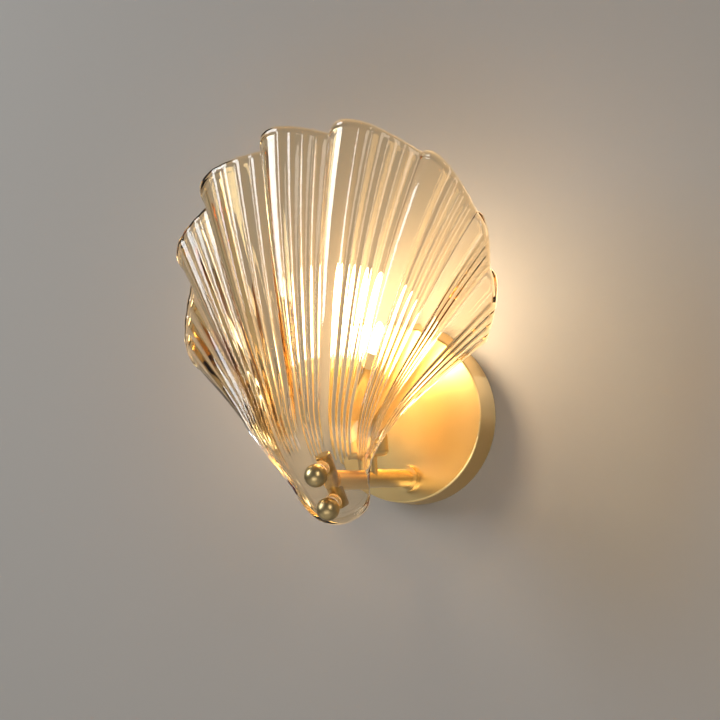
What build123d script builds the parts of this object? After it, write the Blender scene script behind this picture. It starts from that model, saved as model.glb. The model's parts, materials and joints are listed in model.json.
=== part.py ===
from build123d import *
from math import atan2, cos, hypot, pi, radians, sin, tan
import os

# Shell wall sconce. Millimetres, +Z up, the wall is the plane y = 0 and the light stands out along -Y.
# The origin is the centre of the backplate's open edge, where it meets the wall.

# Backplate, a drawn brass pan
plate_radius = 60
plate_depth = 21
plate_wall = 1.5
plate_draft = 1.7          # how much smaller the face is than the edge at the wall
plate_edge_round = 1.3
set_screw_out = 8          # distance of the set screws from the wall

# Wall strap inside the pan
strap_width = 20
strap_end_gap = 6          # from the strap's ends to the plate's edge
strap_thickness = 2
ear_height = 13
slot_spacing = 70
slot_length = 16
slot_width = 5
strap_centre_radius = 5.25
grub_recess = 0.3          # the set screws end this far below the skirt
grub_length = 11
earth_screw_x = 3
earth_screw_z = 14
earth_screw_radius = 2
earth_head_radius = 3.6
earth_head_height = 2.2
lug_radius = 6.2
lug_thickness = 0.8

# Arm
arm_z = -42
arm_radius = 6
arm_bore_radius = 5
collar_radius = 9
collar_thickness = 4
collar_chamfer = 0.5
nipple_radius = 4.85
nipple_bore_radius = 3.5
nipple_in_arm = 10
nipple_in_pan = 8
locknut_flats = 14
locknut_height = 4
washer_radius = 8.5
washer_thickness = 0.8
plug_length = 14
fit = 0.1                  # gap round every turned or threaded pair

# Bar that carries the glass, and its two screws
bar_out = 122              # distance of the bar's middle from the wall
bar_radius = 4.5
bar_length = 36
bar_end_round = 1
bar_flat = 4               # distance of the milled flat from the bar's axis
bar_lean = 30              # degrees forward from upright
screw_pitch = 23
stud_radius = 2
stud_behind = 1.5          # stud tail behind the bar's axis
stud_in_ball = 7.5
gasket_radius = 4.6
gasket_thickness = 1
sleeve_wall = 0.8
washer_front_radius = 4.6
washer_front_thickness = 0.6
ball_radius = 7
ball_hole_spare = 1
ball_seat = 5.5            # distance of the ball's flat seat from its centre

# Glass shell
glass_thickness = 5.5
tongue_half_width = 24
tongue_bottom_z = -69
tongue_side_z = -45        # where the rounded end meets the straight sides
belly_past_bar = 25        # how far the plain shell's belly stands past the bar
belly_z = 40               # the shell leans back to the wall above this height
top_lean_back = 0.00065    # curvature of that lean, 1/mm
tongue_blend = 9           # how softly the leaning tongue runs into the belly
wrap = 1.5                 # how strongly the sides turn back to the wall
wrap_z = -77               # height of the point that the rays spread from
land_half_width = 8        # flat strip down the tongue under the screws
seat_cut = 2               # the ground seats reach this far clear of the glass
flare = 1.3                # above 1 the rays bend outwards
lobe_heights = [10, 10, 10, 10, 10, 8, 6, 6]            # rise of each crest over its valleys at the rim
lobe_skew = 0.58           # under 1 the crest stands left of the lobe's middle
lobe_reaches = [14, 9, 8.5, 7.5, 7.5, 4.5, 2, 2.5]      # how far each lobe's tip stands past its valleys
valley_softness = 0.12
flute_height = 1.5
flute_start_z = -34
flutes_in_lobe = 4
band_share = 0.34          # the smooth band on the left of each lobe
band_places = (0, 0.06, 0.2)
flute_steps = 2
along_steps = 11

# Rim valleys, left lower corner first, as x and z seen from the front
rim_valleys = [(-101, 42), (-106, 107), (-78, 145), (-24, 166), (24, 166),
               (77, 146), (102, 108), (104, 74), (95, 31)]

# Lampholder and bulb
holder_out = 76            # distance of the lamp's axis from the wall
cup_radius = 14
cup_height = 54
cup_wall = 1
cup_round = 3
body_recess = 0.6          # the holder's body ends this far below the cup's rim
neck_radius = 6
neck_length = 8
neck_stem_radius = 4
neck_bore_radius = 2.8
stem_length = 5.5
neck_nut_flats = 12
neck_nut_height = 2.5
nut_room_radius = 8
nut_room_height = 8
thread_radius = 7.1        # bore of the lamp socket's screw shell
thread_wall = 0.4
thread_height = 20
cavity_floor = 27.5        # above the cup's underside
thread_foot = 4.5          # the screw shell stands on feet this high
contact_gap = 1.8
contact_radius = 3
foot_width = 4
thread_gap = 0.15
tip_radius = 3
tip_height = 1.2
insulator_height = 2.5
bulb_radius = 17.5
bulb_height = 62
widest_share = 0.36        # height of the bulb's widest place, as a share of its glass
bulb_collar_height = 10
bulb_collar_radius = 13
bulb_cap_length = 25

# Wiring
lead_radius = 1.1
lead_spacing = 2.6
lead_bend = 3.2
block_width = 26
block_height = 14
block_depth = 11
block_z = -15.5
pole_spacing = 8
terminal_radius = 1.8
block_middle = 7.5         # distance of the poles from the wall
lead_in_block = 4
lead_drop = 3
lead_before_nipple = 1
lead_top = 15              # the leads end this far above the cup's underside

strap_half_length = plate_radius - strap_end_gap
belly_out = bar_out + belly_past_bar
wall = Plane.XZ                                        # local z runs out from the wall
arm_plane = Plane((0, 0, arm_z), x_dir=(1, 0, 0), z_dir=(0, -1, 0))
lean = radians(bar_lean)
bar_plane = Plane((0, -bar_out, arm_z), x_dir=(1, 0, 0), z_dir=(0, -sin(lean), cos(lean)))
screw_plane = Plane((0, -bar_out, arm_z), x_dir=(1, 0, 0), z_dir=(0, -cos(lean), -sin(lean)))
lamp_axis = Plane((0, -holder_out, 0))
cup_z = arm_z + arm_radius + neck_length
sleeve_radius = stud_radius + fit + sleeve_wall
glass_back = bar_flat + gasket_thickness               # along the screws, from the bar's axis
glass_front = glass_back + glass_thickness
ball_back = glass_front + washer_front_thickness

os.makedirs("parts", exist_ok=True)


def save(piece, label):
    """Label a finished piece and write it."""
    piece.part.label = label
    export_step(piece.part, f"parts/{label}.step")


def stud_planes(out):
    """Planes square to the two screws, a distance out from the bar's axis; the lower one first."""
    return [
        Plane(screw_plane.from_local_coords((0, side * screw_pitch / 2, out)),
              x_dir=screw_plane.x_dir, z_dir=screw_plane.z_dir)
        for side in (-1, 1)
    ]


def rings(label, out, radius, bore, thickness):
    """A pair of washers, one on each screw."""
    with BuildPart() as pair:
        for plane in stud_planes(out):
            with BuildSketch(plane):
                Circle(radius)
                Circle(bore, mode=Mode.SUBTRACT)
            extrude(amount=thickness)
    save(pair, label)


# ---- backplate ------------------------------------------------------------------------------
with BuildPart() as backplate:
    with BuildSketch(Plane.XY):
        with BuildLine():
            face_radius = plate_radius - plate_draft
            Polyline(
                (0, -plate_depth),
                (face_radius, -plate_depth),
                (plate_radius, 0),
                (plate_radius - plate_wall, 0),
                (face_radius - plate_wall, plate_wall - plate_depth),
                (0, plate_wall - plate_depth),
                close=True,
            )
        make_face()
    revolve(axis=Axis.Y)
    fillet(backplate.edges().group_by(Axis.Y)[0], plate_edge_round)
    with BuildSketch(arm_plane.offset(plate_depth)):
        Circle(nipple_radius + fit)
    extrude(amount=-2 * plate_wall, mode=Mode.SUBTRACT)
    with BuildSketch(Plane.XY):
        with Locations((0, -set_screw_out)):
            Circle(stud_radius + fit)
    extrude(amount=plate_radius, both=True, mode=Mode.SUBTRACT)
save(backplate, "backplate")

# ---- wall strap and its fastenings ----------------------------------------------------------
with BuildPart() as wall_strap:
    with BuildSketch(wall):
        Rectangle(strap_width, 2 * strap_half_length)
        with Locations((0, slot_spacing / 2), (0, -slot_spacing / 2)):
            SlotOverall(slot_length, slot_width, rotation=90, mode=Mode.SUBTRACT)
        Circle(strap_centre_radius, mode=Mode.SUBTRACT)
        with Locations((earth_screw_x, earth_screw_z)):
            Circle(earth_screw_radius + fit / 2, mode=Mode.SUBTRACT)
    extrude(amount=strap_thickness)
save(wall_strap, "wall_strap")

# The strap's bent ends are a node of their own, so that the space between them stays open for collision.
with BuildPart() as strap_ears:
    ear_middle = strap_half_length - strap_thickness / 2
    with BuildSketch(wall.offset(strap_thickness)):
        with Locations((0, ear_middle), (0, -ear_middle)):
            Rectangle(strap_width, strap_thickness)
    extrude(amount=ear_height - strap_thickness)
    with BuildSketch(Plane.XY):
        with Locations((0, -set_screw_out)):
            Circle(stud_radius + fit / 2)
    extrude(amount=plate_radius, both=True, mode=Mode.SUBTRACT)
save(strap_ears, "strap_ears")

skirt_radius = plate_radius - plate_draft * set_screw_out / plate_depth
with BuildPart() as set_screws:
    for turn in (0, 180):
        end = Plane.XY.rotated((0, turn, 0)).offset(skirt_radius - grub_recess)
        with BuildSketch(end.shift_origin(end.origin + Vector(0, -set_screw_out, 0))):
            Circle(stud_radius)
        extrude(amount=-grub_length)
save(set_screws, "set_screws")

with BuildPart() as earth_screw:
    with BuildSketch(wall.offset(fit)):
        with Locations((earth_screw_x, earth_screw_z)):
            Circle(earth_screw_radius)
    extrude(amount=strap_thickness + lug_thickness - fit)
    with BuildSketch(wall.offset(strap_thickness + lug_thickness)):
        with Locations((earth_screw_x, earth_screw_z)):
            Circle(earth_head_radius)
    extrude(amount=earth_head_height)
save(earth_screw, "earth_screw")

with BuildPart() as earth_lug:
    with BuildSketch(wall.offset(strap_thickness)):
        with Locations((earth_screw_x, earth_screw_z)):
            Circle(lug_radius)
            Circle(earth_screw_radius + fit, mode=Mode.SUBTRACT)
    extrude(amount=lug_thickness)
save(earth_lug, "earth_lug")

# ---- arm and what clamps it to the backplate ------------------------------------------------
with BuildPart() as arm_collar:
    with BuildSketch(arm_plane.offset(plate_depth)):
        Circle(collar_radius)
        Circle(nipple_radius + fit, mode=Mode.SUBTRACT)
    extrude(amount=collar_thickness)
    chamfer(arm_collar.edges().filter_by(GeomType.CIRCLE).group_by(Axis.Y)[0][-1:], collar_chamfer)
save(arm_collar, "arm_collar")

arm_start = plate_depth + collar_thickness
with BuildPart() as arm_tube:
    with BuildSketch(arm_plane.offset(arm_start)):
        Circle(arm_radius)
        Circle(arm_bore_radius, mode=Mode.SUBTRACT)
    extrude(amount=bar_out - arm_start)
    with BuildSketch(bar_plane):
        Circle(bar_radius + fit / 2)
    extrude(amount=bar_length, both=True, mode=Mode.SUBTRACT)
    with BuildSketch(lamp_axis.offset(arm_z)):
        Circle(neck_bore_radius)
    extrude(amount=2 * arm_radius, mode=Mode.SUBTRACT)
save(arm_tube, "arm_tube")

with BuildPart() as arm_plug:
    with BuildSketch(arm_plane.offset(bar_out - plug_length)):
        Circle(arm_bore_radius - fit / 2)
    extrude(amount=plug_length)
    with BuildSketch(bar_plane):
        Circle(bar_radius + fit / 2)
    extrude(amount=bar_length, both=True, mode=Mode.SUBTRACT)
save(arm_plug, "arm_plug")

nipple_start = plate_depth - plate_wall - nipple_in_pan
with BuildPart() as arm_nipple:
    with BuildSketch(arm_plane.offset(nipple_start)):
        Circle(nipple_radius)
        Circle(nipple_bore_radius, mode=Mode.SUBTRACT)
    extrude(amount=arm_start + nipple_in_arm - nipple_start)
save(arm_nipple, "arm_nipple")

with BuildPart() as arm_washer:
    with BuildSketch(arm_plane.offset(plate_depth - plate_wall)):
        Circle(washer_radius)
        Circle(nipple_radius + fit, mode=Mode.SUBTRACT)
    extrude(amount=-washer_thickness)
save(arm_washer, "arm_washer")

with BuildPart() as arm_locknut:
    with BuildSketch(arm_plane.offset(plate_depth - plate_wall - washer_thickness)):
        RegularPolygon(locknut_flats / 2, 6, major_radius=False)
        Circle(nipple_radius + fit, mode=Mode.SUBTRACT)
    extrude(amount=-locknut_height)
save(arm_locknut, "arm_locknut")

# ---- bar, screws and ball nuts that hold the glass ------------------------------------------
with BuildPart() as front_bar:
    with BuildSketch(bar_plane.offset(-bar_length / 2)):
        Circle(bar_radius)
    extrude(amount=bar_length)
    fillet(front_bar.edges().filter_by(GeomType.CIRCLE), bar_end_round)
    with BuildSketch(screw_plane.offset(bar_flat)):
        Rectangle(4 * bar_radius, 2 * bar_length)
    extrude(amount=bar_radius, mode=Mode.SUBTRACT)
    for plane in stud_planes(-stud_behind):
        with BuildSketch(plane):
            Circle(stud_radius + fit / 2)
        extrude(amount=2 * bar_radius, mode=Mode.SUBTRACT)
save(front_bar, "front_bar")

with BuildPart() as glass_screws:
    for plane in stud_planes(-stud_behind):
        with BuildSketch(plane):
            Circle(stud_radius)
        extrude(amount=stud_behind + ball_back + stud_in_ball)
save(glass_screws, "glass_screws")

rings("rear_gaskets", bar_flat, gasket_radius, sleeve_radius + fit, gasket_thickness)
rings("hole_sleeves", bar_flat + fit, sleeve_radius, stud_radius + fit, ball_back - bar_flat - 2 * fit)
rings("front_washers", glass_front, washer_front_radius, sleeve_radius + fit, washer_front_thickness)

for label, seat_plane in zip(("lower_ball_nut", "upper_ball_nut"), stud_planes(ball_back)):
    with BuildPart() as ball_nut:
        with BuildSketch(Plane(seat_plane.origin, x_dir=seat_plane.z_dir, z_dir=seat_plane.x_dir)):
            with Locations((ball_seat, 0)):
                Circle(ball_radius)
            Rectangle(4 * ball_radius, 2 * ball_radius, align=(Align.MIN, Align.MIN), mode=Mode.INTERSECT)
            Rectangle(
                stud_in_ball + ball_hole_spare, stud_radius + fit,
                align=(Align.MIN, Align.MIN), mode=Mode.SUBTRACT,
            )
        revolve(axis=Axis(seat_plane.origin, seat_plane.z_dir))
    save(ball_nut, label)


# ---- glass shell ----------------------------------------------------------------------------
def blend(start, end, value):
    """Rise smoothly from 0 at start to 1 at end."""
    share = min(max((value - start) / (end - start), 0), 1)
    return share * share * (3 - 2 * share)


tongue_point = screw_plane.from_local_coords((0, 0, glass_back + glass_thickness / 2))


def plain_out(x, z):
    """Distance from the wall of the plain shell's middle surface, without lobes or flutes."""
    tongue = -tongue_point.Y + (z - tongue_point.Z) * tan(lean)
    belly = belly_out - top_lean_back * max(z - belly_z, 0) ** 2
    share = min(max(0.5 + 0.5 * (belly - tongue) / tongue_blend, 0), 1)
    middle = belly * (1 - share) + tongue * share - tongue_blend * share * (1 - share)
    land = land_half_width * (1 - blend(tongue_side_z, belly_z, z))
    rise = z - wrap_z
    return middle - wrap * (hypot(max(abs(x) - land, 0), rise) - rise)


def outward(x, z):
    """Unit vector square to the plain shell, away from the wall."""
    step = 0.5
    slope_x = (plain_out(x + step, z) - plain_out(x - step, z)) / (2 * step)
    slope_z = (plain_out(x, z + step) - plain_out(x, z - step)) / (2 * step)
    return Vector(-slope_x, -1, -slope_z).normalized()


def lobe_shape(share):
    """Height of a lobe across its width: 0 in the valleys, 1 on the crest."""
    raised = (sin(pi * share**lobe_skew) ** 2 + valley_softness**2) ** 0.5 - valley_softness
    return raised / ((1 + valley_softness**2) ** 0.5 - valley_softness)


def flute_shape(share):
    """Height of the narrow flutes across a lobe; the left band is smooth."""
    if share < band_share:
        return 0
    return abs(sin(pi * flutes_in_lobe * (share - band_share) / (1 - band_share)))


def rim_point(lobe, share):
    """Rim as x and z seen from the front, at a share of the way across a lobe."""
    (x1, z1), (x2, z2) = rim_valleys[lobe], rim_valleys[lobe + 1]
    chord = hypot(x2 - x1, z2 - z1)
    reach = lobe_reaches[lobe] * sin(pi * share**lobe_skew) ** 0.8
    return (x1 + (x2 - x1) * share - (z2 - z1) / chord * reach,
            z1 + (z2 - z1) * share + (x2 - x1) / chord * reach)


def ray_angle(x, z):
    return atan2(x, z - wrap_z)


valley_angles = [ray_angle(x, z) for x, z in rim_valleys]


def shell_point(lobe, share, along, side):
    """A point of the outer (side 1) or inner (side -1) surface; along runs from tongue to rim."""
    rim_x, rim_z = rim_point(lobe, share)
    angle = valley_angles[lobe] * (1 - share) + valley_angles[lobe + 1] * share
    turn = angle / abs(valley_angles[-1] if angle > 0 else valley_angles[0]) * pi / 2
    start_x = tongue_half_width * sin(turn)
    start_z = tongue_side_z + (tongue_bottom_z - tongue_side_z) * cos(turn)
    x = start_x + (rim_x - start_x) * along**flare
    z = start_z + (rim_z - start_z) * along
    crest = lobe_heights[lobe] * along * lobe_shape(share) * blend(flute_start_z, belly_z, z)
    flutes = flute_height * flute_shape(share) * blend(flute_start_z, 0, z)
    lift = crest + (glass_thickness / 2 + flutes if side > 0 else -glass_thickness / 2)
    return Vector(x, -plain_out(x, z), z) + outward(x, z) * lift


def across():
    """Places across the shell, as lobe and share: a few on each band and some on every flute."""
    places = []
    for lobe in range(len(rim_valleys) - 1):
        places += [(lobe, share) for share in band_places]
        flute_places = flutes_in_lobe * flute_steps
        flute_share = (1 - band_share) / flute_places
        places += [(lobe, band_share + flute_share * step) for step in range(flute_places)]
    return places + [(len(rim_valleys) - 2, 1)]


def skin(side):
    """Grid of points on the outer or inner face, one row for each place across."""
    return [
        [shell_point(lobe, share, step / along_steps, side) for step in range(along_steps + 1)]
        for lobe, share in across()
    ]


def facets(quad):
    """A four-cornered patch as two flat triangles that face out of the glass."""
    a, b, c, d = quad
    return [-Face(Wire.make_polygon([a, c, b])), -Face(Wire.make_polygon([a, d, c]))]


def border(grid):
    """The points round the edge of a grid, in order."""
    tongue = [row[0] for row in grid]
    rim = [row[-1] for row in grid]
    return tongue + grid[-1][1:-1] + rim[::-1] + grid[0][-2:0:-1]


def patches(rows, next_rows):
    """Four-cornered patches between two neighbouring rows of points."""
    return zip(rows, next_rows, next_rows[1:], rows[1:])


outer, inner = skin(1), skin(-1)
quads = []
for grid in (outer, inner):
    for row, next_row in zip(grid, grid[1:]):
        quads += patches(row, next_row)
outer_edge, inner_edge = border(outer), border(inner)
quads += patches(outer_edge + outer_edge[:1], inner_edge + inner_edge[:1])
with BuildPart() as glass_shell:
    add(Solid(Shell([face for quad in quads for face in facets(quad)])), clean=False)
    for plane in stud_planes(0):
        with BuildSketch(plane):
            Circle(sleeve_radius + fit)
        extrude(amount=2 * glass_front, mode=Mode.SUBTRACT, clean=False)
    for plane in stud_planes(glass_front):
        with BuildSketch(plane):
            Circle(ball_radius + fit)
        extrude(amount=seat_cut, mode=Mode.SUBTRACT, clean=False)
    for plane in stud_planes(glass_back):
        with BuildSketch(plane):
            Circle(gasket_radius + fit)
        extrude(amount=-seat_cut, mode=Mode.SUBTRACT, clean=False)
print(f"glass_shell: volume {glass_shell.part.volume:.0f} mm3")
save(glass_shell, "glass_shell")

# ---- lampholder -----------------------------------------------------------------------------
with BuildPart() as holder_neck:
    with BuildSketch(lamp_axis.offset(arm_z)):
        Circle(neck_radius)
    extrude(amount=arm_radius + neck_length)
    with BuildSketch(lamp_axis.offset(cup_z)):
        Circle(neck_stem_radius)
    extrude(amount=stem_length)
    with BuildSketch(arm_plane):
        Circle(arm_radius + fit / 2)
    extrude(amount=bar_out, mode=Mode.SUBTRACT)
    with BuildSketch(lamp_axis.offset(arm_z)):
        Circle(neck_bore_radius)
    extrude(amount=2 * cup_height, mode=Mode.SUBTRACT)
save(holder_neck, "holder_neck")

with BuildPart() as holder_cup:
    with BuildSketch(lamp_axis.offset(cup_z)):
        Circle(cup_radius)
    extrude(amount=cup_height)
    fillet(holder_cup.edges().group_by(Axis.Z)[0], cup_round)
    offset(openings=holder_cup.faces().sort_by(Axis.Z)[-1:], amount=-cup_wall)
    with BuildSketch(lamp_axis.offset(cup_z)):
        Circle(neck_stem_radius + fit)
    extrude(amount=2 * cup_wall, mode=Mode.SUBTRACT)
save(holder_cup, "holder_cup")

with BuildPart() as neck_nut:
    with BuildSketch(lamp_axis.offset(cup_z + cup_wall)):
        RegularPolygon(neck_nut_flats / 2, 6, major_radius=False)
        Circle(neck_stem_radius + fit, mode=Mode.SUBTRACT)
    extrude(amount=neck_nut_height)
save(neck_nut, "neck_nut")

body_radius = cup_radius - cup_wall - fit
with BuildPart() as holder_body:
    with BuildSketch(lamp_axis.offset(cup_z + cup_wall)):
        Circle(body_radius)
    extrude(amount=cup_height - cup_wall - body_recess)
    chamfer(holder_body.edges().group_by(Axis.Z)[0], cup_round)
    with BuildSketch(lamp_axis.offset(cup_z + cup_wall)):
        Circle(nut_room_radius)
    extrude(amount=nut_room_height, mode=Mode.SUBTRACT)
    with BuildSketch(lamp_axis.offset(cup_z + cavity_floor)):
        Circle(thread_radius + thread_wall + fit)
    extrude(amount=cup_height, mode=Mode.SUBTRACT)
    with BuildSketch(lamp_axis.offset(cup_z)):
        with Locations((lead_spacing / 2, 0), (-lead_spacing / 2, 0)):
            Circle(lead_radius + fit)
    extrude(amount=lead_top + fit, mode=Mode.SUBTRACT)
save(holder_body, "holder_body")

with BuildPart() as socket_thread:
    with BuildSketch(lamp_axis.offset(cup_z + cavity_floor + thread_foot)):
        Circle(thread_radius + thread_wall)
        Circle(thread_radius, mode=Mode.SUBTRACT)
    extrude(amount=thread_height)
    with BuildSketch(lamp_axis.offset(cup_z + cavity_floor)):
        Circle(thread_radius + thread_wall)
        Circle(thread_radius, mode=Mode.SUBTRACT)
        Rectangle(foot_width, 3 * thread_radius, mode=Mode.INTERSECT)
    extrude(amount=thread_foot)
save(socket_thread, "socket_thread")

with BuildPart() as centre_contact:
    with BuildSketch(lamp_axis.offset(cup_z + cavity_floor)):
        Circle(contact_radius)
    extrude(amount=contact_gap)
save(centre_contact, "centre_contact")

# ---- bulb -----------------------------------------------------------------------------------
tip_z = cup_z + cavity_floor + contact_gap
cap_z = tip_z + tip_height + insulator_height
collar_z = cap_z + bulb_cap_length - tip_height - insulator_height
envelope_z = collar_z + bulb_collar_height

with BuildPart() as bulb_tip:
    with BuildSketch(lamp_axis.offset(tip_z)):
        Circle(tip_radius)
    extrude(amount=tip_height)
save(bulb_tip, "bulb_tip")

with BuildPart() as bulb_insulator:
    with BuildSketch(lamp_axis.offset(tip_z + tip_height)):
        Circle(tip_radius + 1)
    with BuildSketch(lamp_axis.offset(cap_z)):
        Circle(thread_radius - thread_gap - 1)
    loft()
save(bulb_insulator, "bulb_insulator")

with BuildPart() as bulb_cap:
    with BuildSketch(lamp_axis.offset(cap_z)):
        Circle(thread_radius - thread_gap)
    extrude(amount=collar_z - cap_z)
save(bulb_cap, "bulb_cap")

with BuildPart() as bulb_collar:
    with BuildSketch(lamp_axis.offset(collar_z)):
        Circle(thread_radius - thread_gap)
    with BuildSketch(lamp_axis.offset(envelope_z)):
        Circle(bulb_collar_radius)
    loft()
save(bulb_collar, "bulb_collar")

# Candle envelope: widest a third of the way up, drawn in to a soft point.
with BuildPart() as bulb_envelope:
    with BuildSketch(Plane((0, -holder_out, envelope_z), x_dir=(1, 0, 0), z_dir=(0, -1, 0))):
        with BuildLine():
            foot = (bulb_collar_radius, 0)
            widest = (bulb_radius, bulb_height * widest_share)
            top = (0, bulb_height)
            Spline(foot, widest, tangents=[(0.5, 1), (0, 1)])
            Spline(widest, top, tangents=[(0, 1), (-1, 0.35)])
            Polyline(top, (0, 0), foot)
        make_face()
    revolve(axis=Axis((0, -holder_out, 0), (0, 0, 1)))
save(bulb_envelope, "bulb_envelope")

# ---- wiring ---------------------------------------------------------------------------------
block_bottom = block_z - block_height / 2
with BuildPart() as terminal_block:
    with BuildSketch(wall.offset(strap_thickness)):
        with Locations((0, block_z)):
            Rectangle(block_width, block_height)
    extrude(amount=block_depth)
    fillet(terminal_block.edges().filter_by(Axis.Y), 1)
    with BuildSketch(Plane.XY.offset(block_bottom)):
        with Locations((0, -block_middle)):
            with GridLocations(pole_spacing, 1, 3, 1):
                Circle(terminal_radius)
    extrude(amount=block_height, mode=Mode.SUBTRACT)
save(terminal_block, "terminal_block")


def lead(label, points, bends):
    """A round insulated wire along straight runs joined by arcs."""
    with BuildPart() as wire:
        with BuildLine() as route:
            FilletPolyline(*points, radius=bends)
        path = route.wires()[0]
        with BuildSketch(Plane(path @ 0, z_dir=path % 0)):
            Circle(lead_radius)
        sweep()
    section = pi * lead_radius**2
    print(f"{label}: length {path.length:.0f} mm, bends {bends}, section times length "
          f"{section * path.length:.0f}, volume {wire.part.volume:.0f} mm3")
    save(wire, label)


for label, pole_x, side in (("live_lead", -pole_spacing, -1), ("neutral_lead", 0, 1)):
    x = side * lead_spacing / 2
    lead(
        label,
        [
            (pole_x, -block_middle, block_bottom + lead_in_block),
            (pole_x, -block_middle, block_bottom - lead_drop),
            (x, -nipple_start + lead_before_nipple, arm_z),
            (x, -holder_out, arm_z),
            (x, -holder_out, cup_z + lead_top),
        ],
        [lead_bend, lead_bend, lead_bend],
    )
lead(
    "earth_lead",
    [
        (pole_spacing, -block_middle, block_z + block_height / 2 - lead_in_block),
        (pole_spacing, -block_middle, earth_screw_z),
        (pole_spacing, -strap_thickness - lug_thickness, earth_screw_z),
    ],
    [lead_bend],
)
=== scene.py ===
# %% [markdown]
# # Shell wall sconce
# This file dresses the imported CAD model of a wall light: a fluted amber glass scallop shell on a
# brass arm, with a lit candle bulb behind it. The CAD parts are already in place, in metres, with
# the wall at y = 0 and the light standing out along -Y. Each cell adds one piece or one finish
# around them, and prints what it made or measured.

import json
from math import cos, hypot, pi, radians, sin, tan

import bmesh
import bpy
import numpy as np
from mathutils import Matrix, Vector


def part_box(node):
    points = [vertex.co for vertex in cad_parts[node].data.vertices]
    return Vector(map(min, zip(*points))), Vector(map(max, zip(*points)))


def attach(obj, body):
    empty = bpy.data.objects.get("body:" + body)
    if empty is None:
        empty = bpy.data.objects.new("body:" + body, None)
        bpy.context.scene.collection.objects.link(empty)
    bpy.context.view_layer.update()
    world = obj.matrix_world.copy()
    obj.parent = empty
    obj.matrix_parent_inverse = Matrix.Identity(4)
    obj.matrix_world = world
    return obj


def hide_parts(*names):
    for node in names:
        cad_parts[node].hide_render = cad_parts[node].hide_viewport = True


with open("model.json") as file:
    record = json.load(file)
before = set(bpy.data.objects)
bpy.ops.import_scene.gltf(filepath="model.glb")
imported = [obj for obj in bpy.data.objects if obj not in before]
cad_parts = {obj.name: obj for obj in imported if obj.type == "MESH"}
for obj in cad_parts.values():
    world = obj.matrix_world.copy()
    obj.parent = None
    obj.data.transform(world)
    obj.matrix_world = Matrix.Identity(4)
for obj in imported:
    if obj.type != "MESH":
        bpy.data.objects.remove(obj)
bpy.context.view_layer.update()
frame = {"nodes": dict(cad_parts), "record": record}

# %% [markdown]
# ## Where the pieces are
# The lamp's axis and the arm's height could be typed in again here, but they would drift from the
# model when it changes. The frame knows each CAD part's box, so they are read from it, and
# `middle` gives the centre of that box.


# %% Measures read from the frame
def middle(node):
    """Centre of a CAD part's box."""
    low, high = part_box(node)
    return (low + high) / 2


MM = 0.001
lamp_x, lamp_y = middle("bulb_envelope").xy
arm_z = middle("arm_tube").z
print(f"lamp axis at x {lamp_x:.4f} y {lamp_y:.4f}, arm at z {arm_z:.3f}")

# %% [markdown]
# ## Shared shader groups
# Metal that is handled goes darker and duller in soft patches, and brushed metal has fine lines.
# A picture of scratches could be laid over the parts, but noise that is worked out in the shader
# needs no picture and has no seams. Both effects are used by several finishes, so each is a node
# group with named inputs and outputs. The groups put out only colours and values; every
# Principled shader stays in its own material, where an exporter can read it.


# %% Helpers for materials and node groups
def new_material(name):
    """A material, its node tree and its Principled shader."""
    material = bpy.data.materials.new(name)
    material.use_nodes = True
    return material, material.node_tree, material.node_tree.nodes["Principled BSDF"]


def new_group(name, inputs, outputs):
    """An empty shader group with its input and output nodes."""
    group = bpy.data.node_groups.new(name, "ShaderNodeTree")
    for label, kind, value in inputs:
        socket = group.interface.new_socket(name=label, in_out="INPUT", socket_type=kind)
        socket.default_value = value
    for label, kind in outputs:
        group.interface.new_socket(name=label, in_out="OUTPUT", socket_type=kind)
    start = group.nodes.new("NodeGroupInput")
    end = group.nodes.new("NodeGroupOutput")
    start.location, end.location = (-900, 0), (500, 0)
    return group, start, end


def add_node(tree, kind, place, **settings):
    """A node at a place in the editor, with its properties set."""
    node = tree.nodes.new(kind)
    node.location = place
    for key, value in settings.items():
        setattr(node, key, value)
    return node


def in_use(sockets):
    """The sockets that a node shows for its present data type."""
    return [socket for socket in sockets if socket.enabled]


FLOAT, COLOR = "NodeSocketFloat", "NodeSocketColor"

# %% Group: aged patches
PATCH_DETAIL, PATCH_FROM, PATCH_TO = 5, 0.38, 0.72
aged_patches, start, end = new_group(
    "aged patches",
    [("Fresh Color", COLOR, (0.8, 0.6, 0.3, 1)), ("Aged Color", COLOR, (0.4, 0.3, 0.15, 1)),
     ("Patch Scale", FLOAT, 60.0), ("Amount", FLOAT, 0.5),
     ("Fresh Roughness", FLOAT, 0.3), ("Aged Roughness", FLOAT, 0.5)],
    [("Color", COLOR), ("Roughness", FLOAT), ("Height", FLOAT)],
)
place = add_node(aged_patches, "ShaderNodeTexCoord", (-900, 300))
noise = add_node(aged_patches, "ShaderNodeTexNoise", (-650, 200))
noise.inputs["Detail"].default_value = PATCH_DETAIL
mask = add_node(aged_patches, "ShaderNodeMapRange", (-420, 200))
mask.inputs["From Min"].default_value = PATCH_FROM
mask.inputs["From Max"].default_value = PATCH_TO
share = add_node(aged_patches, "ShaderNodeMath", (-200, 200), operation="MULTIPLY")
colour = add_node(aged_patches, "ShaderNodeMix", (50, 200), data_type="RGBA")
rough = add_node(aged_patches, "ShaderNodeMix", (50, -50), data_type="FLOAT")
link = aged_patches.links.new
link(place.outputs["Object"], noise.inputs["Vector"])
link(start.outputs["Patch Scale"], noise.inputs["Scale"])
link(noise.outputs[0], mask.inputs["Value"])
link(mask.outputs["Result"], share.inputs[0])
link(start.outputs["Amount"], share.inputs[1])
for mix, kind in ((colour, "Color"), (rough, "Roughness")):
    factor, fresh_end, aged_end = in_use(mix.inputs)
    link(share.outputs[0], factor)
    link(start.outputs[f"Fresh {kind}"], fresh_end)
    link(start.outputs[f"Aged {kind}"], aged_end)
    link(in_use(mix.outputs)[0], end.inputs[kind])
link(noise.outputs[0], end.inputs["Height"])
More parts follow.
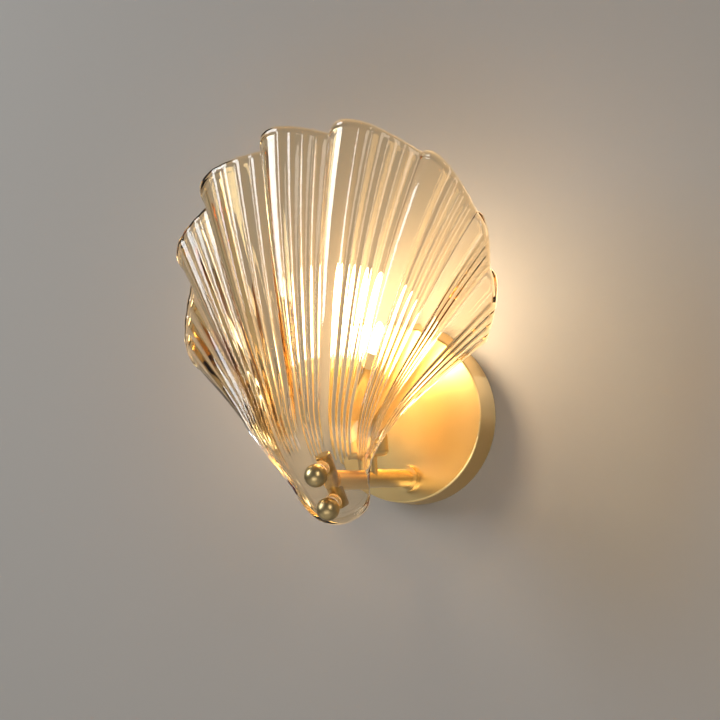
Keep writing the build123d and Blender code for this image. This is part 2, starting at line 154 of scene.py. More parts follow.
print("group ready:", aged_patches.name)

# %% Group: brushed lines
LINE_DETAIL, NOISE_MIDDLE = 3, 0.5
brushed_lines, start, end = new_group(
    "brushed lines",
    [("Along X", FLOAT, 30.0), ("Along Y", FLOAT, 30.0), ("Along Z", FLOAT, 900.0),
     ("Roughness", FLOAT, 0.3), ("Spread", FLOAT, 0.08)],
    [("Roughness", FLOAT), ("Height", FLOAT)],
)
place = add_node(brushed_lines, "ShaderNodeTexCoord", (-900, 300))
stretch = add_node(brushed_lines, "ShaderNodeCombineXYZ", (-700, 0))
scaled = add_node(brushed_lines, "ShaderNodeVectorMath", (-500, 200), operation="MULTIPLY")
noise = add_node(brushed_lines, "ShaderNodeTexNoise", (-300, 200))
noise.inputs["Scale"].default_value = 1
noise.inputs["Detail"].default_value = LINE_DETAIL
centred = add_node(brushed_lines, "ShaderNodeMath", (-80, 200), operation="SUBTRACT")
centred.inputs[1].default_value = NOISE_MIDDLE
spread = add_node(brushed_lines, "ShaderNodeMath", (120, 200), operation="MULTIPLY_ADD")
link = brushed_lines.links.new
for axis in "XYZ":
    link(start.outputs[f"Along {axis}"], stretch.inputs[axis])
link(place.outputs["Object"], scaled.inputs[0])
link(stretch.outputs[0], scaled.inputs[1])
link(scaled.outputs[0], noise.inputs["Vector"])
link(noise.outputs[0], centred.inputs[0])
link(centred.outputs[0], spread.inputs[0])
link(start.outputs["Spread"], spread.inputs[1])
link(start.outputs["Roughness"], spread.inputs[2])
link(spread.outputs[0], end.inputs["Roughness"])
link(noise.outputs[0], end.inputs["Height"])
print("group ready:", brushed_lines.name)

# %% [markdown]
# ## Metals
# The backplate, the arm and the lampholder's cup are satin brass: bright yellow metal with a soft
# broad highlight. The bar and the two ball nuts are older and browner. The strap, its screws and
# the washer behind the plate are zinc-plated steel, and the hidden nuts, the contacts and the
# bulb's cap are bare brass. One flat colour would look like paint, so all of them use the two
# groups, with their own colours and amounts. The aged roughness is a little higher than the fresh
# one, because tarnish takes the shine away.


# %% Helper: a finish in aged patches
RELIEF_DEPTH = 0.2 * MM


def patched_finish(name, fresh, aged, amount, patch_scale, roughness, relief_strength):
    """A finish in aged patches; roughness gives the fresh and the aged value."""
    material, tree, shader = new_material(name)
    patches = add_node(tree, "ShaderNodeGroup", (-600, 200), node_tree=aged_patches)
    relief = add_node(tree, "ShaderNodeBump", (-250, -300))
    patches.inputs["Fresh Color"].default_value = (*fresh, 1)
    patches.inputs["Aged Color"].default_value = (*aged, 1)
    patches.inputs["Amount"].default_value = amount
    patches.inputs["Patch Scale"].default_value = patch_scale
    patches.inputs["Fresh Roughness"].default_value = roughness[0]
    patches.inputs["Aged Roughness"].default_value = roughness[1]
    relief.inputs["Strength"].default_value = relief_strength
    relief.inputs["Distance"].default_value = RELIEF_DEPTH
    tree.links.new(patches.outputs["Color"], shader.inputs["Base Color"])
    tree.links.new(relief.outputs["Normal"], shader.inputs["Normal"])
    return material, tree, shader, patches, relief


# %% Helper: a metal finish
GRAIN_RELIEF = 0.02
GRAIN_FINENESS = (40, 900, 40)                       # how fast the lines change along X, Y and Z


def metal(name, fresh, aged, amount, roughness, patch_scale):
    """Metal with aged patches and fine brushed lines."""
    material, tree, shader, patches, relief = patched_finish(
        name, fresh, aged, amount, patch_scale, roughness, GRAIN_RELIEF
    )
    grain = add_node(tree, "ShaderNodeGroup", (-600, -200), node_tree=brushed_lines)
    both = add_node(tree, "ShaderNodeMath", (-350, -50), operation="ADD")
    for axis, fineness in zip("XYZ", GRAIN_FINENESS):
        grain.inputs[f"Along {axis}"].default_value = fineness
    grain.inputs["Roughness"].default_value = 0
    tree.links.new(patches.outputs["Roughness"], both.inputs[0])
    tree.links.new(grain.outputs["Roughness"], both.inputs[1])
    tree.links.new(both.outputs[0], shader.inputs["Roughness"])
    tree.links.new(grain.outputs["Height"], relief.inputs["Height"])
    shader.inputs["Metallic"].default_value = 1
    return material


# %% The metal finishes
satin_brass = metal(
    "satin brass", fresh=(0.86, 0.62, 0.27), aged=(0.80, 0.56, 0.23),
    amount=0.4, roughness=(0.30, 0.34), patch_scale=35,
)
antique_brass = metal(
    "antique brass", fresh=(0.50, 0.38, 0.18), aged=(0.27, 0.20, 0.10),
    amount=0.8, roughness=(0.30, 0.45), patch_scale=180,
)
plain_brass = metal(
    "plain brass", fresh=(0.78, 0.62, 0.34), aged=(0.58, 0.45, 0.24),
    amount=0.5, roughness=(0.30, 0.42), patch_scale=150,
)
zinc_steel = metal(
    "zinc steel", fresh=(0.70, 0.70, 0.68), aged=(0.52, 0.52, 0.50),
    amount=0.6, roughness=(0.32, 0.48), patch_scale=120,
)
print("metals:", satin_brass.name, antique_brass.name, plain_brass.name, zinc_steel.name)

# %% [markdown]
# ## Plastics, rubber and resin
# The washers, the terminal block, the gaskets, the wires' insulation, the lampholder's body and
# the dark glass at the bulb's tip are moulded. A moulded part is never one flat value: its sheen
# changes a little over the surface. A second group could be made for that, but the aged patches do
# it too, with two near colours.

# %% Helper and the moulded finishes
MOULDED_RELIEF, MOULDED_PATCHES, DULLER = 0.05, 90, 0.12


def moulded(name, colour, other, roughness, amount=0.5):
    """A moulded finish with a faint change of colour and sheen."""
    material, tree, shader, patches, relief = patched_finish(
        name, colour, other, amount, MOULDED_PATCHES, (roughness, roughness + DULLER),
        MOULDED_RELIEF,
    )
    tree.links.new(patches.outputs["Roughness"], shader.inputs["Roughness"])
    tree.links.new(patches.outputs["Height"], relief.inputs["Height"])
    return material


white_plastic = moulded("white plastic", (0.84, 0.83, 0.79), (0.76, 0.74, 0.68), 0.38)
holder_resin = moulded("holder resin", (0.80, 0.78, 0.72), (0.70, 0.67, 0.60), 0.5)
black_glass = moulded("black cap glass", (0.03, 0.03, 0.035), (0.06, 0.06, 0.06), 0.18)
silicone = moulded("silicone", (0.80, 0.79, 0.74), (0.70, 0.69, 0.64), 0.55)
brown_insulation = moulded("brown insulation", (0.23, 0.11, 0.05), (0.18, 0.08, 0.04), 0.35)
blue_insulation = moulded("blue insulation", (0.08, 0.20, 0.58), (0.06, 0.15, 0.45), 0.35)
green_insulation = moulded(
    "green insulation", (0.22, 0.48, 0.13), (0.60, 0.62, 0.10), 0.35, amount=0.9
)
print("moulded finishes ready")

# %% [markdown]
# ## Amber glass
# The shell is clear pressed glass with a light amber tint: thin places look champagne, and edges,
# where light travels a long way inside, look golden brown. A coloured surface would give every
# place the same tint. Absorption inside the glass gives just what is seen, so the surface stays
# colourless and the volume carries the tint. Rays from lamps pass straight through with the tint,
# so the glass does not throw a black shadow.

# %% The glass finish
GLASS_ROUGHNESS, GLASS_IOR = 0.02, 1.5
TINT, TINT_PER_METRE = (0.972, 0.862, 0.63, 1), 230
SHADOW_TINT = (0.98, 0.93, 0.82, 1)
amber_glass, tree, shader = new_material("amber glass")
shader.inputs["Base Color"].default_value = (1, 1, 1, 1)
shader.inputs["Roughness"].default_value = GLASS_ROUGHNESS
shader.inputs["IOR"].default_value = GLASS_IOR
shader.inputs["Transmission Weight"].default_value = 1
through = add_node(tree, "ShaderNodeBsdfTransparent", (0, -400))
through.inputs["Color"].default_value = SHADOW_TINT
rays = add_node(tree, "ShaderNodeLightPath", (0, 500))
either = add_node(tree, "ShaderNodeMixShader", (400, 200))
tint = add_node(tree, "ShaderNodeVolumeAbsorption", (400, -100))
tint.inputs["Color"].default_value = TINT
tint.inputs["Density"].default_value = TINT_PER_METRE
output = tree.nodes["Material Output"]
tree.links.new(rays.outputs["Is Shadow Ray"], either.inputs[0])
tree.links.new(shader.outputs[0], either.inputs[1])
tree.links.new(through.outputs[0], either.inputs[2])
tree.links.new(either.outputs[0], output.inputs["Surface"])
tree.links.new(tint.outputs[0], output.inputs["Volume"])
print("glass tint density", TINT_PER_METRE, "per metre")

# %% [markdown]
# ## Lit opal bulb
# The bulb is on. Its opal envelope is brightest where the light source sits inside, and fades to
# orange towards the tip and the cap, so the flutes in front of it break it into warm strips. A
# lamp inside the envelope could light it, but would take many more samples, so the envelope glows
# by itself. The fade follows each point's distance from the source, in the object's own space.

# %% The bulb's finish
SOURCE_BELOW_MIDDLE = 4 * MM
HOT_REACH, GLOW_REACH = 16 * MM, 40 * MM
HOT_COLOUR, FADED_COLOUR = (1.0, 0.76, 0.48, 1), (0.022, 0.011, 0.004, 1)
GLOW_STRENGTH = 75
opal_glow, tree, shader = new_material("lit opal glass")
shader.inputs["Base Color"].default_value = (0.95, 0.92, 0.86, 1)
shader.inputs["Roughness"].default_value = 0.25
shader.inputs["Emission Strength"].default_value = GLOW_STRENGTH
source_z = middle("bulb_envelope").z - SOURCE_BELOW_MIDDLE
place = add_node(tree, "ShaderNodeTexCoord", (-1100, 0))
apart = add_node(tree, "ShaderNodeVectorMath", (-850, 0), operation="DISTANCE")
apart.inputs[1].default_value = (lamp_x, lamp_y, source_z)
fading = add_node(tree, "ShaderNodeMapRange", (-620, 0), interpolation_type="SMOOTHSTEP")
fading.inputs["From Min"].default_value = HOT_REACH
fading.inputs["From Max"].default_value = GLOW_REACH
warmth = add_node(tree, "ShaderNodeMix", (-350, 0), data_type="RGBA")
factor, hot_end, faded_end = in_use(warmth.inputs)
hot_end.default_value = HOT_COLOUR
faded_end.default_value = FADED_COLOUR
tree.links.new(place.outputs["Object"], apart.inputs[0])
tree.links.new(apart.outputs["Value"], fading.inputs["Value"])
tree.links.new(fading.outputs["Result"], factor)
tree.links.new(in_use(warmth.outputs)[0], shader.inputs["Emission Color"])
print(f"bulb glows with strength {GLOW_STRENGTH} round z {source_z:.4f}")

# %% [markdown]
# ## Dress the CAD parts
# A CAD part whose shape is right stays, and only gets its finish. Each part could be dressed by
# hand, but the record already says which slot each part belongs to, so a table that gives each
# slot its finish is enough.

# %% Give each CAD part its finish
finishes = {
    "satin_brass": satin_brass, "antique_brass": antique_brass, "plain_brass": plain_brass,
    "zinc_steel": zinc_steel, "amber_glass": amber_glass, "opal_glass": opal_glow,
    "white_plastic": white_plastic, "black_glass": black_glass, "silicone": silicone,
    "holder_resin": holder_resin, "brown_insulation": brown_insulation,
    "blue_insulation": blue_insulation, "green_insulation": green_insulation,
}
slot_of = {part["node"]: part["material_slot"] for part in frame["record"]["subparts"]}
for name, node in frame["nodes"].items():
    for material_slot in node.material_slots:
        material_slot.material = finishes[slot_of[name]]
print(f"{len(slot_of)} parts dressed in {len(finishes)} finishes")

# %% [markdown]
# ## The glass shell
# The real shell is pressed glass: eight lobes fan out from a smooth tongue, each with a smooth
# band on its left and four round flutes beside it. The whole rim is fire polished, so its edge is
# round, and a low raised band as thick as a pencil line follows it on the front. Sculpting it
# would leave the flutes uneven, and the CAD solid has flat facets. Here it is a grid worked out by
# formula: every column is one place across a lobe, every row one place along it, and the two faces
# lie half the glass thickness in front of and behind a middle surface.

# %% Sizes of the shell, in millimetres
GLASS = 5.5
TONGUE_HALF_WIDTH, TONGUE_BOTTOM, TONGUE_SIDE = 24, -69, -45
BELLY_OUT, BELLY_Z, LEAN_BACK, TONGUE_BLEND = 147, 40, 0.00065, 9
WRAP, WRAP_Z, LAND = 1.5, -77, 8
FLARE = 1.3
LOBE_SKEW, VALLEY_SOFTNESS, REACH_ROUNDNESS = 0.58, 0.12, 0.8
LOBE_HEIGHTS = np.array([10, 10, 10, 10, 10, 8, 6, 6])
LOBE_REACHES = np.array([14, 9, 8.5, 7.5, 7.5, 4.5, 2, 2.5])
FLUTE_HEIGHT, FLUTE_START, FLUTES, BAND = 1.5, -34, 4, 0.34
VALLEYS = [                                          # x and z of the rim between the lobes
    (-101, 42), (-106, 107), (-78, 145), (-24, 166), (24, 166),
    (77, 146), (102, 108), (104, 74), (95, 31),
]
BAR_LEAN = radians(30)
SEAT = 5                                             # from the bar's axis to the back of the glass
bar_middle = middle("front_bar") / MM
tongue_out = -bar_middle.y + cos(BAR_LEAN) * (SEAT + GLASS / 2)
tongue_height = arm_z / MM - sin(BAR_LEAN) * (SEAT + GLASS / 2)
print(f"the glass on its screws: {tongue_out:.1f} mm out, {tongue_height:.1f} mm high")

# %% [markdown]
# ## The shell's plain form
# Without lobes and flutes the shell is a flat tongue that leans like the bar it is screwed to,
# blended into a belly that leans back towards the wall at the top and wraps round at both sides.
# `plain_out` says how far that surface stands off the wall at any x and z. `outward` finds the
# direction square to it from its slope, because thickness and relief are measured that way.


# %% Helpers: the plain form
def rise(low, high, value):
    """Smooth rise from 0 at low to 1 at high."""
    share = np.clip((value - low) / (high - low), 0, 1)
    return share * share * (3 - 2 * share)


def plain_out(x, z):
    """How far the shell's middle surface stands off the wall, before lobes and flutes."""
    tongue = tongue_out + (z - tongue_height) * tan(BAR_LEAN)
    belly = BELLY_OUT - LEAN_BACK * np.maximum(z - BELLY_Z, 0) ** 2
    share = np.clip(0.5 + 0.5 * (belly - tongue) / TONGUE_BLEND, 0, 1)
    centre = belly * (1 - share) + tongue * share - TONGUE_BLEND * share * (1 - share)
    land = LAND * (1 - rise(TONGUE_SIDE, BELLY_Z, z))
    height = z - WRAP_Z
    return centre - WRAP * (np.hypot(np.maximum(np.abs(x) - land, 0), height) - height)


def outward(x, z, step=0.5):
    """Directions square to the plain form, away from the wall."""
    slope_x = (plain_out(x + step, z) - plain_out(x - step, z)) / (2 * step)
    slope_z = (plain_out(x, z + step) - plain_out(x, z - step)) / (2 * step)
    square = np.stack([-slope_x, -np.ones_like(x), -slope_z], -1)
    return square / np.linalg.norm(square, axis=-1, keepdims=True)


# %% [markdown]
# ## Lobes and flutes
# Seen across, a lobe climbs fast from its left valley and falls slowly to the next one, and its
# four flutes are round ridges with sharp lines between them. Both are written as a height for each
# share of the lobe's width, 0 at its left valley and 1 at its right one. The columns of the grid
# are then placed so that every sharp line falls on a column, which keeps it crisp.


# %% Helpers: lobes and flutes
def lobe_shape(share):
    """Height across a lobe, 0 in the valleys and 1 on the crest."""
    raised = np.sqrt(np.sin(pi * share**LOBE_SKEW) ** 2 + VALLEY_SOFTNESS**2) - VALLEY_SOFTNESS
    return raised / (hypot(1, VALLEY_SOFTNESS) - VALLEY_SOFTNESS)


def flute_shape(share):
    """Height of the round flutes; the lobe's left band stays smooth."""
    waves = np.abs(np.sin(pi * FLUTES * (share - BAND) / (1 - BAND)))
    return np.where(share < BAND, 0, waves)


# %% Place the columns across the lobes
BAND_STEPS, BAND_CROWDING, FLUTE_STEPS = 14, 1.6, 9
EDGE_STEPS = (0.001, 0.01, 0.03, 0.08, 0.2, 0.5)     # shares of a step, close to both side edges
flute_places = FLUTES * FLUTE_STEPS
last_lobe = len(VALLEYS) - 2
columns = []
for lobe in range(last_lobe + 1):
    shares = [BAND * (step / BAND_STEPS) ** BAND_CROWDING for step in range(BAND_STEPS)]
    shares += [BAND + (1 - BAND) * step / flute_places for step in range(flute_places)]
    if lobe == 0:
        shares[1:1] = [shares[1] * share for share in EDGE_STEPS]
    columns += [(lobe, share) for share in shares]
last_step = (1 - BAND) / flute_places
columns += [(last_lobe, 1 - last_step * share) for share in reversed(EDGE_STEPS)]
columns += [(last_lobe, 1)]
lobes = np.array([lobe for lobe, _ in columns])
shares = np.array([share for _, share in columns])[:, None]
print(f"{len(columns)} columns across {last_lobe + 1} lobes")

# %% [markdown]
# ## The middle surface
# Each column runs from a foot on the tongue's round lower edge to a place on the scalloped rim.
# The feet share out that edge by the angle of each valley, so the flutes fan out evenly. Rows are
# spaced evenly inside and crowded near both ends, where the edge will be rounded. Along a column
# x grows slowly at first and faster near the rim, so the flutes bend outwards like the real ones.

# %% Rim and foot of each column
corner = np.array(VALLEYS, float)
left, right = corner[lobes], corner[lobes + 1]
chord = np.linalg.norm(right - left, axis=1, keepdims=True)
away = np.stack([-(right - left)[:, 1], (right - left)[:, 0]], 1) / chord
scallop = LOBE_REACHES[lobes][:, None] * np.sin(pi * shares**LOBE_SKEW) ** REACH_ROUNDNESS
rim = left + (right - left) * shares + away * scallop
angles = np.arctan2(corner[:, 0], corner[:, 1] - WRAP_Z)
angle = angles[lobes] * (1 - shares[:, 0]) + angles[lobes + 1] * shares[:, 0]
turn = angle / np.where(angle > 0, angles[-1], -angles[0]) * pi / 2
foot = np.stack([TONGUE_HALF_WIDTH * np.sin(turn),
                 TONGUE_SIDE + (TONGUE_BOTTOM - TONGUE_SIDE) * np.cos(turn)], 1)
ray = np.linalg.norm(rim - foot, axis=1, keepdims=True)
print(f"columns are {ray.min():.0f} to {ray.max():.0f} mm long")

# %% Lay out the middle surface
ALONG_STEPS = 90
EDGE_DEPTHS = np.array([                             # rows near an edge, in millimetres from it
    0, 0.01, 0.05, 0.15, 0.35, 0.7, 1.1, 1.6, 2.6, 3.6, 4.0, 4.4, 4.8, 5.2, 5.6, 6.4,
])
inside = np.linspace(0, 1, ALONG_STEPS)[1:-1]
along = np.concatenate([
    np.broadcast_to(EDGE_DEPTHS, (len(columns), len(EDGE_DEPTHS))) / ray,
    EDGE_DEPTHS[-1] / ray + inside * (1 - 2 * EDGE_DEPTHS[-1] / ray),
    1 - np.broadcast_to(EDGE_DEPTHS[::-1], (len(columns), len(EDGE_DEPTHS))) / ray,
], 1)
x = foot[:, :1] + (rim[:, :1] - foot[:, :1]) * along**FLARE
z = foot[:, 1:] + (rim[:, 1:] - foot[:, 1:]) * along
lift = LOBE_HEIGHTS[lobes][:, None] * along * lobe_shape(shares) * rise(FLUTE_START, BELLY_Z, z)
flutes = FLUTE_HEIGHT * flute_shape(shares) * rise(FLUTE_START, 0, z)
square = outward(x, z)
centre = np.stack([x, -plain_out(x, z), z], -1) + square * lift[..., None]
print("grid", centre.shape[:2], "rim height", round(float(z.max()), 1), "mm")

# %% [markdown]
# ## Edges and thickness
# A fire-polished edge is a flat end whose corners have melted round. A bevel would have to find
# its way along every flute, so the thickness itself follows the distance from the nearest edge: it
# starts at nothing and fills out along a curve between a circle and a square. The same distance
# places the raised band of the rim, on which the flutes are lower.


# %% Give the shell its thickness
def run(points, axis):
    """Distance along a grid line, from its start."""
    lengths = np.linalg.norm(np.diff(points, axis=axis), axis=-1)
    start = np.zeros_like(np.take(lengths, [0], axis=axis))
    return np.cumsum(np.concatenate([start, lengths], axis=axis), axis=axis)


EDGE_ROUNDING, SQUARENESS = 1.6, 4                   # a flat end with rounded corners
BEAD_HEIGHT, BEAD_FROM, BEAD_TO, FLUTES_ON_BEAD = 0.9, 4.0, 5.4, 0.35
across_run, along_run = run(centre, 0), run(centre, 1)
edge = np.minimum.reduce([
    across_run, across_run[-1:] - across_run, along_run, along_run[:, -1:] - along_run,
])
near = np.clip(edge / EDGE_ROUNDING, 0, 1)
half = GLASS / 2 * (1 - (1 - near) ** SQUARENESS) ** (1 / SQUARENESS)
inner = rise(BEAD_FROM, BEAD_TO, edge)
bead = BEAD_HEIGHT * (1 - inner) * near
ribs = flutes * (FLUTES_ON_BEAD + (1 - FLUTES_ON_BEAD) * inner) * near
front = centre + square * (half + ribs + bead)[..., None]
back = centre - square * half[..., None]
print(f"glass {2 * half.max():.1f} mm thick, with a band {BEAD_HEIGHT} mm high round the rim")

# %% Join the two faces at the edge
NO_THICKNESS = 1e-6
column_count, row_count = half.shape
index = np.arange(half.size).reshape(half.shape)
back_index = np.where(half < NO_THICKNESS, index, index + half.size)
faces = []
for i in range(column_count - 1):
    for j in range(row_count - 1):
        faces.append((index[i, j], index[i + 1, j], index[i + 1, j + 1], index[i, j + 1]))
        faces.append((back_index[i, j], back_index[i, j + 1],
                      back_index[i + 1, j + 1], back_index[i + 1, j]))
points = np.concatenate([front.reshape(-1, 3), back.reshape(-1, 3)]) * MM
print(f"shell mesh: {len(points)} points, {len(faces)} faces")

# %% [markdown]
# ## Pieces made of points and faces
# Two pieces are built from lists of points and faces. Each must ride on the CAD body that it
# belongs to, so that it moves with that body's joint, and must name its slot. One helper does
# this for both, and takes away points that no face uses, such as the back's own edge points.


# %% Helper: a smooth mesh piece
def mesh_piece(name, points, faces, material, body):
    """A mesh made of points and faces, dressed, and riding on a CAD body."""
    mesh = bpy.data.meshes.new(name)
    mesh.from_pydata([tuple(map(float, point)) for point in points], [],
                     [tuple(map(int, face)) for face in faces])
    mesh.validate()
    shape = bmesh.new()
    shape.from_mesh(mesh)
    unused = [vert for vert in shape.verts if not vert.link_faces]
    if unused:
        bmesh.ops.delete(shape, geom=unused, context="VERTS")
        shape.to_mesh(mesh)
    shape.free()
    mesh.polygons.foreach_set("use_smooth", [True] * len(mesh.polygons))
    mesh.materials.append(material)
    piece = bpy.data.objects.new(name, mesh)
    bpy.context.scene.collection.objects.link(piece)
    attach(piece, body)
    return piece


# %% Make the shell
shell = mesh_piece("fluted_shell", points, faces, amber_glass, "fixture")
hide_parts("glass_shell")
print("fluted shell:", len(shell.data.vertices), "points,", len(shell.data.polygons), "faces")

# %% [markdown]
# ## Screw holes in the glass
# Two screws come out of the brass bar, pass through the glass with a soft sleeve round each, and
# take the ball nuts. The holes are bored as a glazier would bore them, along the screws: a round
# drill stands on each nut's axis, halfway through the glass, and a Boolean modifier takes it away.
# Its result is kept as the shell's own mesh, so that no modifier is left on it.


# %% Helper: a drill along the screws
HOLE_RADIUS, DRILL_LENGTH, DRILL_SIDES = 3.0 * MM, 16 * MM, 48
screw_way = Vector((0, -cos(BAR_LEAN), -sin(BAR_LEAN)))


def glass_drill(name, place):
    """A round drill that stands along the screws, with its middle at a place."""
    shape = bmesh.new()
    bmesh.ops.create_cone(
        shape, segments=DRILL_SIDES, cap_ends=True,
        radius1=HOLE_RADIUS, radius2=HOLE_RADIUS, depth=DRILL_LENGTH,
    )
    mesh = bpy.data.meshes.new(name)
    shape.to_mesh(mesh)
    shape.free()
    drill = bpy.data.objects.new(name, mesh)
    drill.rotation_euler = screw_way.to_track_quat("Z", "Y").to_euler()
    drill.location = place
    bpy.context.scene.collection.objects.link(drill)
    return drill


# %% Bore the two screw holes through the glass
joint_places = {joint["child"]: Vector(joint["pos_m"])
                for joint in frame["record"]["behaviour"]["joints"] if "pos_m" in joint}
glass_depth = (SEAT + GLASS / 2) * MM
drills = []
for nut in ("lower_nut", "upper_nut"):
    past_bar = (joint_places[nut] - middle("front_bar")).dot(screw_way)
    drill = glass_drill("drill " + nut, joint_places[nut] - screw_way * (past_bar - glass_depth))
    cut = shell.modifiers.new("hole", "BOOLEAN")
    cut.operation, cut.solver, cut.object = "DIFFERENCE", "EXACT", drill
    drills.append(drill)
bpy.context.view_layer.update()
cut_shell = shell.evaluated_get(bpy.context.evaluated_depsgraph_get())
drilled = bpy.data.meshes.new_from_object(cut_shell)
shell.modifiers.clear()
shell.data = drilled
for drill in drills:
    bpy.data.objects.remove(drill)
print("drilled shell:", len(drilled.polygons), "faces, drills", len(drills))

# %% [markdown]
# ## Screw thread of the bulb's cap
# The cap of a small candle bulb is thin brass pressed into a rounded thread with a pitch of
# 2.82 mm. The CAD has a plain cylinder. The Screw modifier could wind a profile up the cap, but it
# leaves open ends, so this piece is a stack of rings: each ring's radius follows a wave that
# climbs one pitch per turn, and fades out at both ends of the thread.

# %% Sizes of the thread
PITCH, THREAD_DEPTH, AROUND, RINGS = 2.82 * MM, 0.45 * MM, 72, 84
THREAD_START, THREAD_END, RUN_OUT = 0.06, 0.84, 0.08  # shares of the cap's height
END_BEVEL, BEVEL_SHARE = 0.25 * MM, 0.04
low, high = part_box("bulb_cap")
cap_radius = (high.x - low.x) / 2
print(f"cap: {(high.z - low.z) / MM:.1f} mm high, radius {cap_radius / MM:.2f} mm")

# %% Make the threaded cap
cap_points, cap_faces = [], []
for ring in range(RINGS):
    share = ring / (RINGS - 1)
    height = low.z + (high.z - low.z) * share
    fade = min(share / THREAD_START, 1) * min(max((THREAD_END - share) / RUN_OUT, 0), 1)
    bevel = END_BEVEL * (1 - min(share / BEVEL_SHARE, 1))
    for step in range(AROUND):
        turn_share = step / AROUND
        wave = 0.5 - 0.5 * cos(2 * pi * ((height - low.z) / PITCH - turn_share))
        radius = cap_radius - THREAD_DEPTH * wave * fade - bevel
        cap_points.append((lamp_x + radius * cos(2 * pi * turn_share),
                           lamp_y + radius * sin(2 * pi * turn_share), height))
for ring in range(RINGS - 1):
    for step in range(AROUND):
        a, b = ring * AROUND + step, ring * AROUND + (step + 1) % AROUND
        cap_faces.append((a, b, b + AROUND, a + AROUND))
cap_faces.append(tuple(range(AROUND))[::-1])
cap_faces.append(tuple(range((RINGS - 1) * AROUND, RINGS * AROUND)))
cap = mesh_piece("threaded_cap", cap_points, cap_faces, plain_brass, "bulb")
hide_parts("bulb_cap")
print("threaded cap:", len(cap.data.polygons), "faces")

# %% [markdown]
# ## Wall and floor
# The light hangs on a plain warm grey wall, and a pale floor lies well below. A thick wall would
# hide the back of the light from behind, so the wall is a single plane that is seen only from the
# room: its back lets every ray through, and rays from lamps pass it too.


# %% Helper: a flat stage piece
def stage_plane(name, corners, material):
    """A flat piece of the surroundings, which isn't part of the light."""
    mesh = bpy.data.meshes.new(name)
    mesh.from_pydata(corners, [], [tuple(range(len(corners)))])
    mesh.materials.append(material)
    plane = bpy.data.objects.new(name, mesh)
    bpy.context.scene.collection.objects.link(plane)
    return plane


# %% Plaster that is seen from the room only
GRIT_SCALE, GRIT_STRENGTH, GRIT_DEPTH = 260, 0.12, 1 * MM
plaster, tree, shader = new_material("warm grey plaster")
shader.inputs["Base Color"].default_value = (0.29, 0.268, 0.243, 1)
shader.inputs["Roughness"].default_value = 0.9
grit = add_node(tree, "ShaderNodeTexNoise", (-600, -200))
grit.inputs["Scale"].default_value = GRIT_SCALE
relief = add_node(tree, "ShaderNodeBump", (-300, -200))
relief.inputs["Strength"].default_value = GRIT_STRENGTH
relief.inputs["Distance"].default_value = GRIT_DEPTH
facing = add_node(tree, "ShaderNodeNewGeometry", (0, 500))
rays = add_node(tree, "ShaderNodeLightPath", (0, 800))
lets_through = add_node(tree, "ShaderNodeMath", (200, 500), operation="MAXIMUM")
open_back = add_node(tree, "ShaderNodeBsdfTransparent", (0, -400))
one_sided = add_node(tree, "ShaderNodeMixShader", (400, 200))
tree.links.new(grit.outputs[0], relief.inputs["Height"])
tree.links.new(relief.outputs["Normal"], shader.inputs["Normal"])
tree.links.new(facing.outputs["Backfacing"], lets_through.inputs[0])
tree.links.new(rays.outputs["Is Shadow Ray"], lets_through.inputs[1])
tree.links.new(lets_through.outputs[0], one_sided.inputs[0])
tree.links.new(shader.outputs[0], one_sided.inputs[1])
tree.links.new(open_back.outputs[0], one_sided.inputs[2])
tree.links.new(one_sided.outputs[0], tree.nodes["Material Output"].inputs["Surface"])
print("finish ready:", plaster.name)

# %% Wall and floor
pale_floor, tree, shader = new_material("pale floor")
shader.inputs["Base Color"].default_value = (0.74, 0.72, 0.69, 1)
shader.inputs["Roughness"].default_value = 0.8
WALL_HALF, WALL_TOP, FLOOR_Z, FLOOR_REACH = 2.5, 3.0, -0.9, 4
BEHIND = 0.0006                                      # the wall lies a hair behind the backplate
wall_piece = stage_plane(
    "wall",
    [(-WALL_HALF, BEHIND, FLOOR_Z), (WALL_HALF, BEHIND, FLOOR_Z),
     (WALL_HALF, BEHIND, WALL_TOP), (-WALL_HALF, BEHIND, WALL_TOP)],
    plaster,
)
floor_piece = stage_plane(
    "floor",
    [(-WALL_HALF, -FLOOR_REACH, FLOOR_Z), (WALL_HALF, -FLOOR_REACH, FLOOR_Z),
     (WALL_HALF, FLOOR_REACH, FLOOR_Z), (-WALL_HALF, FLOOR_REACH, FLOOR_Z)],
    pale_floor,
)
print("wall faces", tuple(round(v, 2) for v in wall_piece.data.polygons[0].normal))
print("floor faces", tuple(round(v, 2) for v in floor_piece.data.polygons[0].normal))

# %% [markdown]
# ## The room around
# Behind the wall's edges and through the glass the camera sees a pale room. If that room also lit
# the light, glass and brass would go flat, so the world has two backgrounds: a pale one for the
# camera and for rays that went through glass, and a dim one for everything else.

# %% World
world = bpy.data.worlds.new("soft room")
bpy.context.scene.world = world
world.use_nodes = True
tree = world.node_tree
dim_room = tree.nodes["Background"]
dim_room.inputs["Color"].default_value = (0.80, 0.82, 0.86, 1)
dim_room.inputs["Strength"].default_value = 0.16
pale_room = add_node(tree, "ShaderNodeBackground", (0, -200))
pale_room.inputs["Color"].default_value = (0.44, 0.43, 0.415, 1)
rays = add_node(tree, "ShaderNodeLightPath", (0, 400))
direct = add_node(tree, "ShaderNodeMath", (150, 400), operation="MAXIMUM")
seen = add_node(tree, "ShaderNodeMixShader", (300, 100))
tree.links.new(rays.outputs["Is Camera Ray"], direct.inputs[0])
tree.links.new(rays.outputs["Is Transmission Ray"], direct.inputs[1])
tree.links.new(direct.outputs[0], seen.inputs[0])
tree.links.new(dim_room.outputs[0], seen.inputs[1])
tree.links.new(pale_room.outputs[0], seen.inputs[2])
tree.links.new(seen.outputs[0], tree.nodes["World Output"].inputs["Surface"])
print("world ready:", world.name)

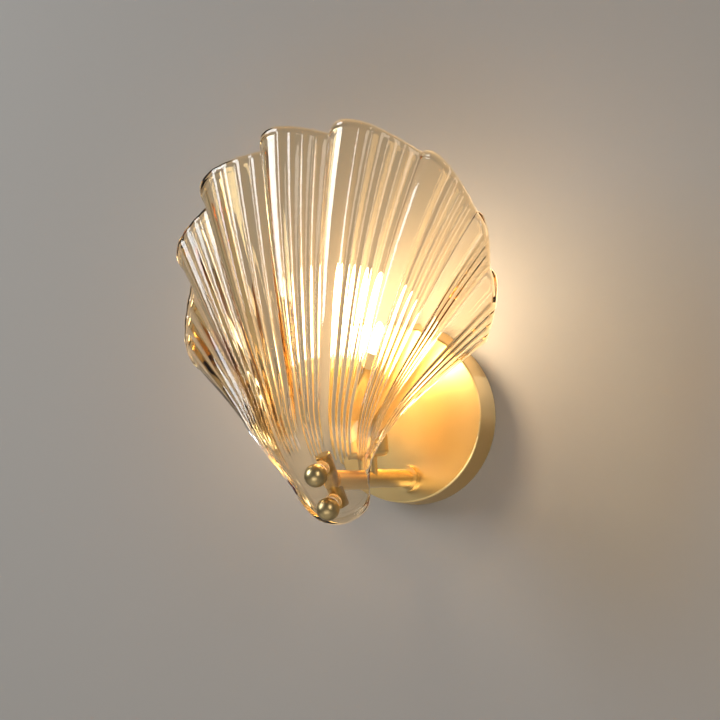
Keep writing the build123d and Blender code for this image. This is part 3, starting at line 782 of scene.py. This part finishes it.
# %% [markdown]
# ## Lamps
# The bulb alone would leave the front of the shell dark. Four soft lamps help it: a cool broad one
# on the left, where the shell catches pale streaks, a warm one on the right, a weak one below, and
# one behind the wall for the views from there. Broad lamps are used because small ones would draw
# hard points on the flutes.

# %% Lamps
LAMPS = [                                            # name, place, width, height, power, colour
    ("window on the left", (-1.25, -1.15, 0.85), 0.7, 1.0, 26, (0.86, 0.93, 1.0)),
    ("warm fill on the right", (1.4, -1.2, 0.5), 0.6, 1.0, 9, (1.0, 0.90, 0.78)),
    ("light from behind", (0.5, 1.5, 0.6), 1.2, 1.0, 16, (1.0, 0.98, 0.95)),
    ("weak light below", (0.2, -1.2, -0.7), 0.8, 0.4, 4, (1.0, 0.95, 0.9)),
]
shell_middle = middle("glass_shell")
for name, place, width, height, power, colour in LAMPS:
    data = bpy.data.lights.new(name, "AREA")
    data.shape, data.size, data.size_y = "RECTANGLE", width, height
    data.energy, data.color = power, colour
    lamp = bpy.data.objects.new(name, data)
    bpy.context.scene.collection.objects.link(lamp)
    lamp.location = place
    lamp.rotation_euler = (shell_middle - Vector(place)).to_track_quat("-Z", "Y").to_euler()

# %% [markdown]
# ## Camera
# The camera stands to the right of the light and a little below it, as in the photograph. It could
# be aimed by a constraint, but then its roll and the place of the light in the picture would be
# hard to set. So its place is given as a direction from the light, a distance and a small slide,
# and the roll is the tilt of the picture.

# %% Place the camera
AZIMUTH, ELEVATION, ROLL = radians(28.2), radians(-8.0), radians(-4.5)
DISTANCE, SLIDE_RIGHT, SLIDE_UP = 0.840, -0.039, 0.0408
LENS, SENSOR, NEAREST = 60, 36, 0.01                 # two in millimetres, the last in metres
back_way = Vector((sin(AZIMUTH) * cos(ELEVATION), -cos(AZIMUTH) * cos(ELEVATION), sin(ELEVATION)))
level_right = Vector((cos(AZIMUTH), sin(AZIMUTH), 0))
level_up = back_way.cross(level_right)
right_way = level_right * cos(ROLL) + level_up * sin(ROLL)
up_way = level_up * cos(ROLL) - level_right * sin(ROLL)
camera = bpy.data.objects.new("camera", bpy.data.cameras.new("camera"))
bpy.context.scene.collection.objects.link(camera)
turned = Matrix((right_way, up_way, back_way)).transposed().to_4x4()
camera.matrix_world = Matrix.Translation(
    back_way * DISTANCE + right_way * SLIDE_RIGHT + up_way * SLIDE_UP
) @ turned
camera.data.lens, camera.data.sensor_width, camera.data.clip_start = LENS, SENSOR, NEAREST
bpy.context.scene.camera = camera
bpy.context.scene.view_settings.view_transform = "Standard"
print("camera at", [round(v, 3) for v in camera.matrix_world.translation])

# %% [markdown]
# ## The last step
# The view layer is brought up to date once more, so that every piece stands where it was put.

# %% Bring the scene up to date, and finish
bpy.context.view_layer.update()
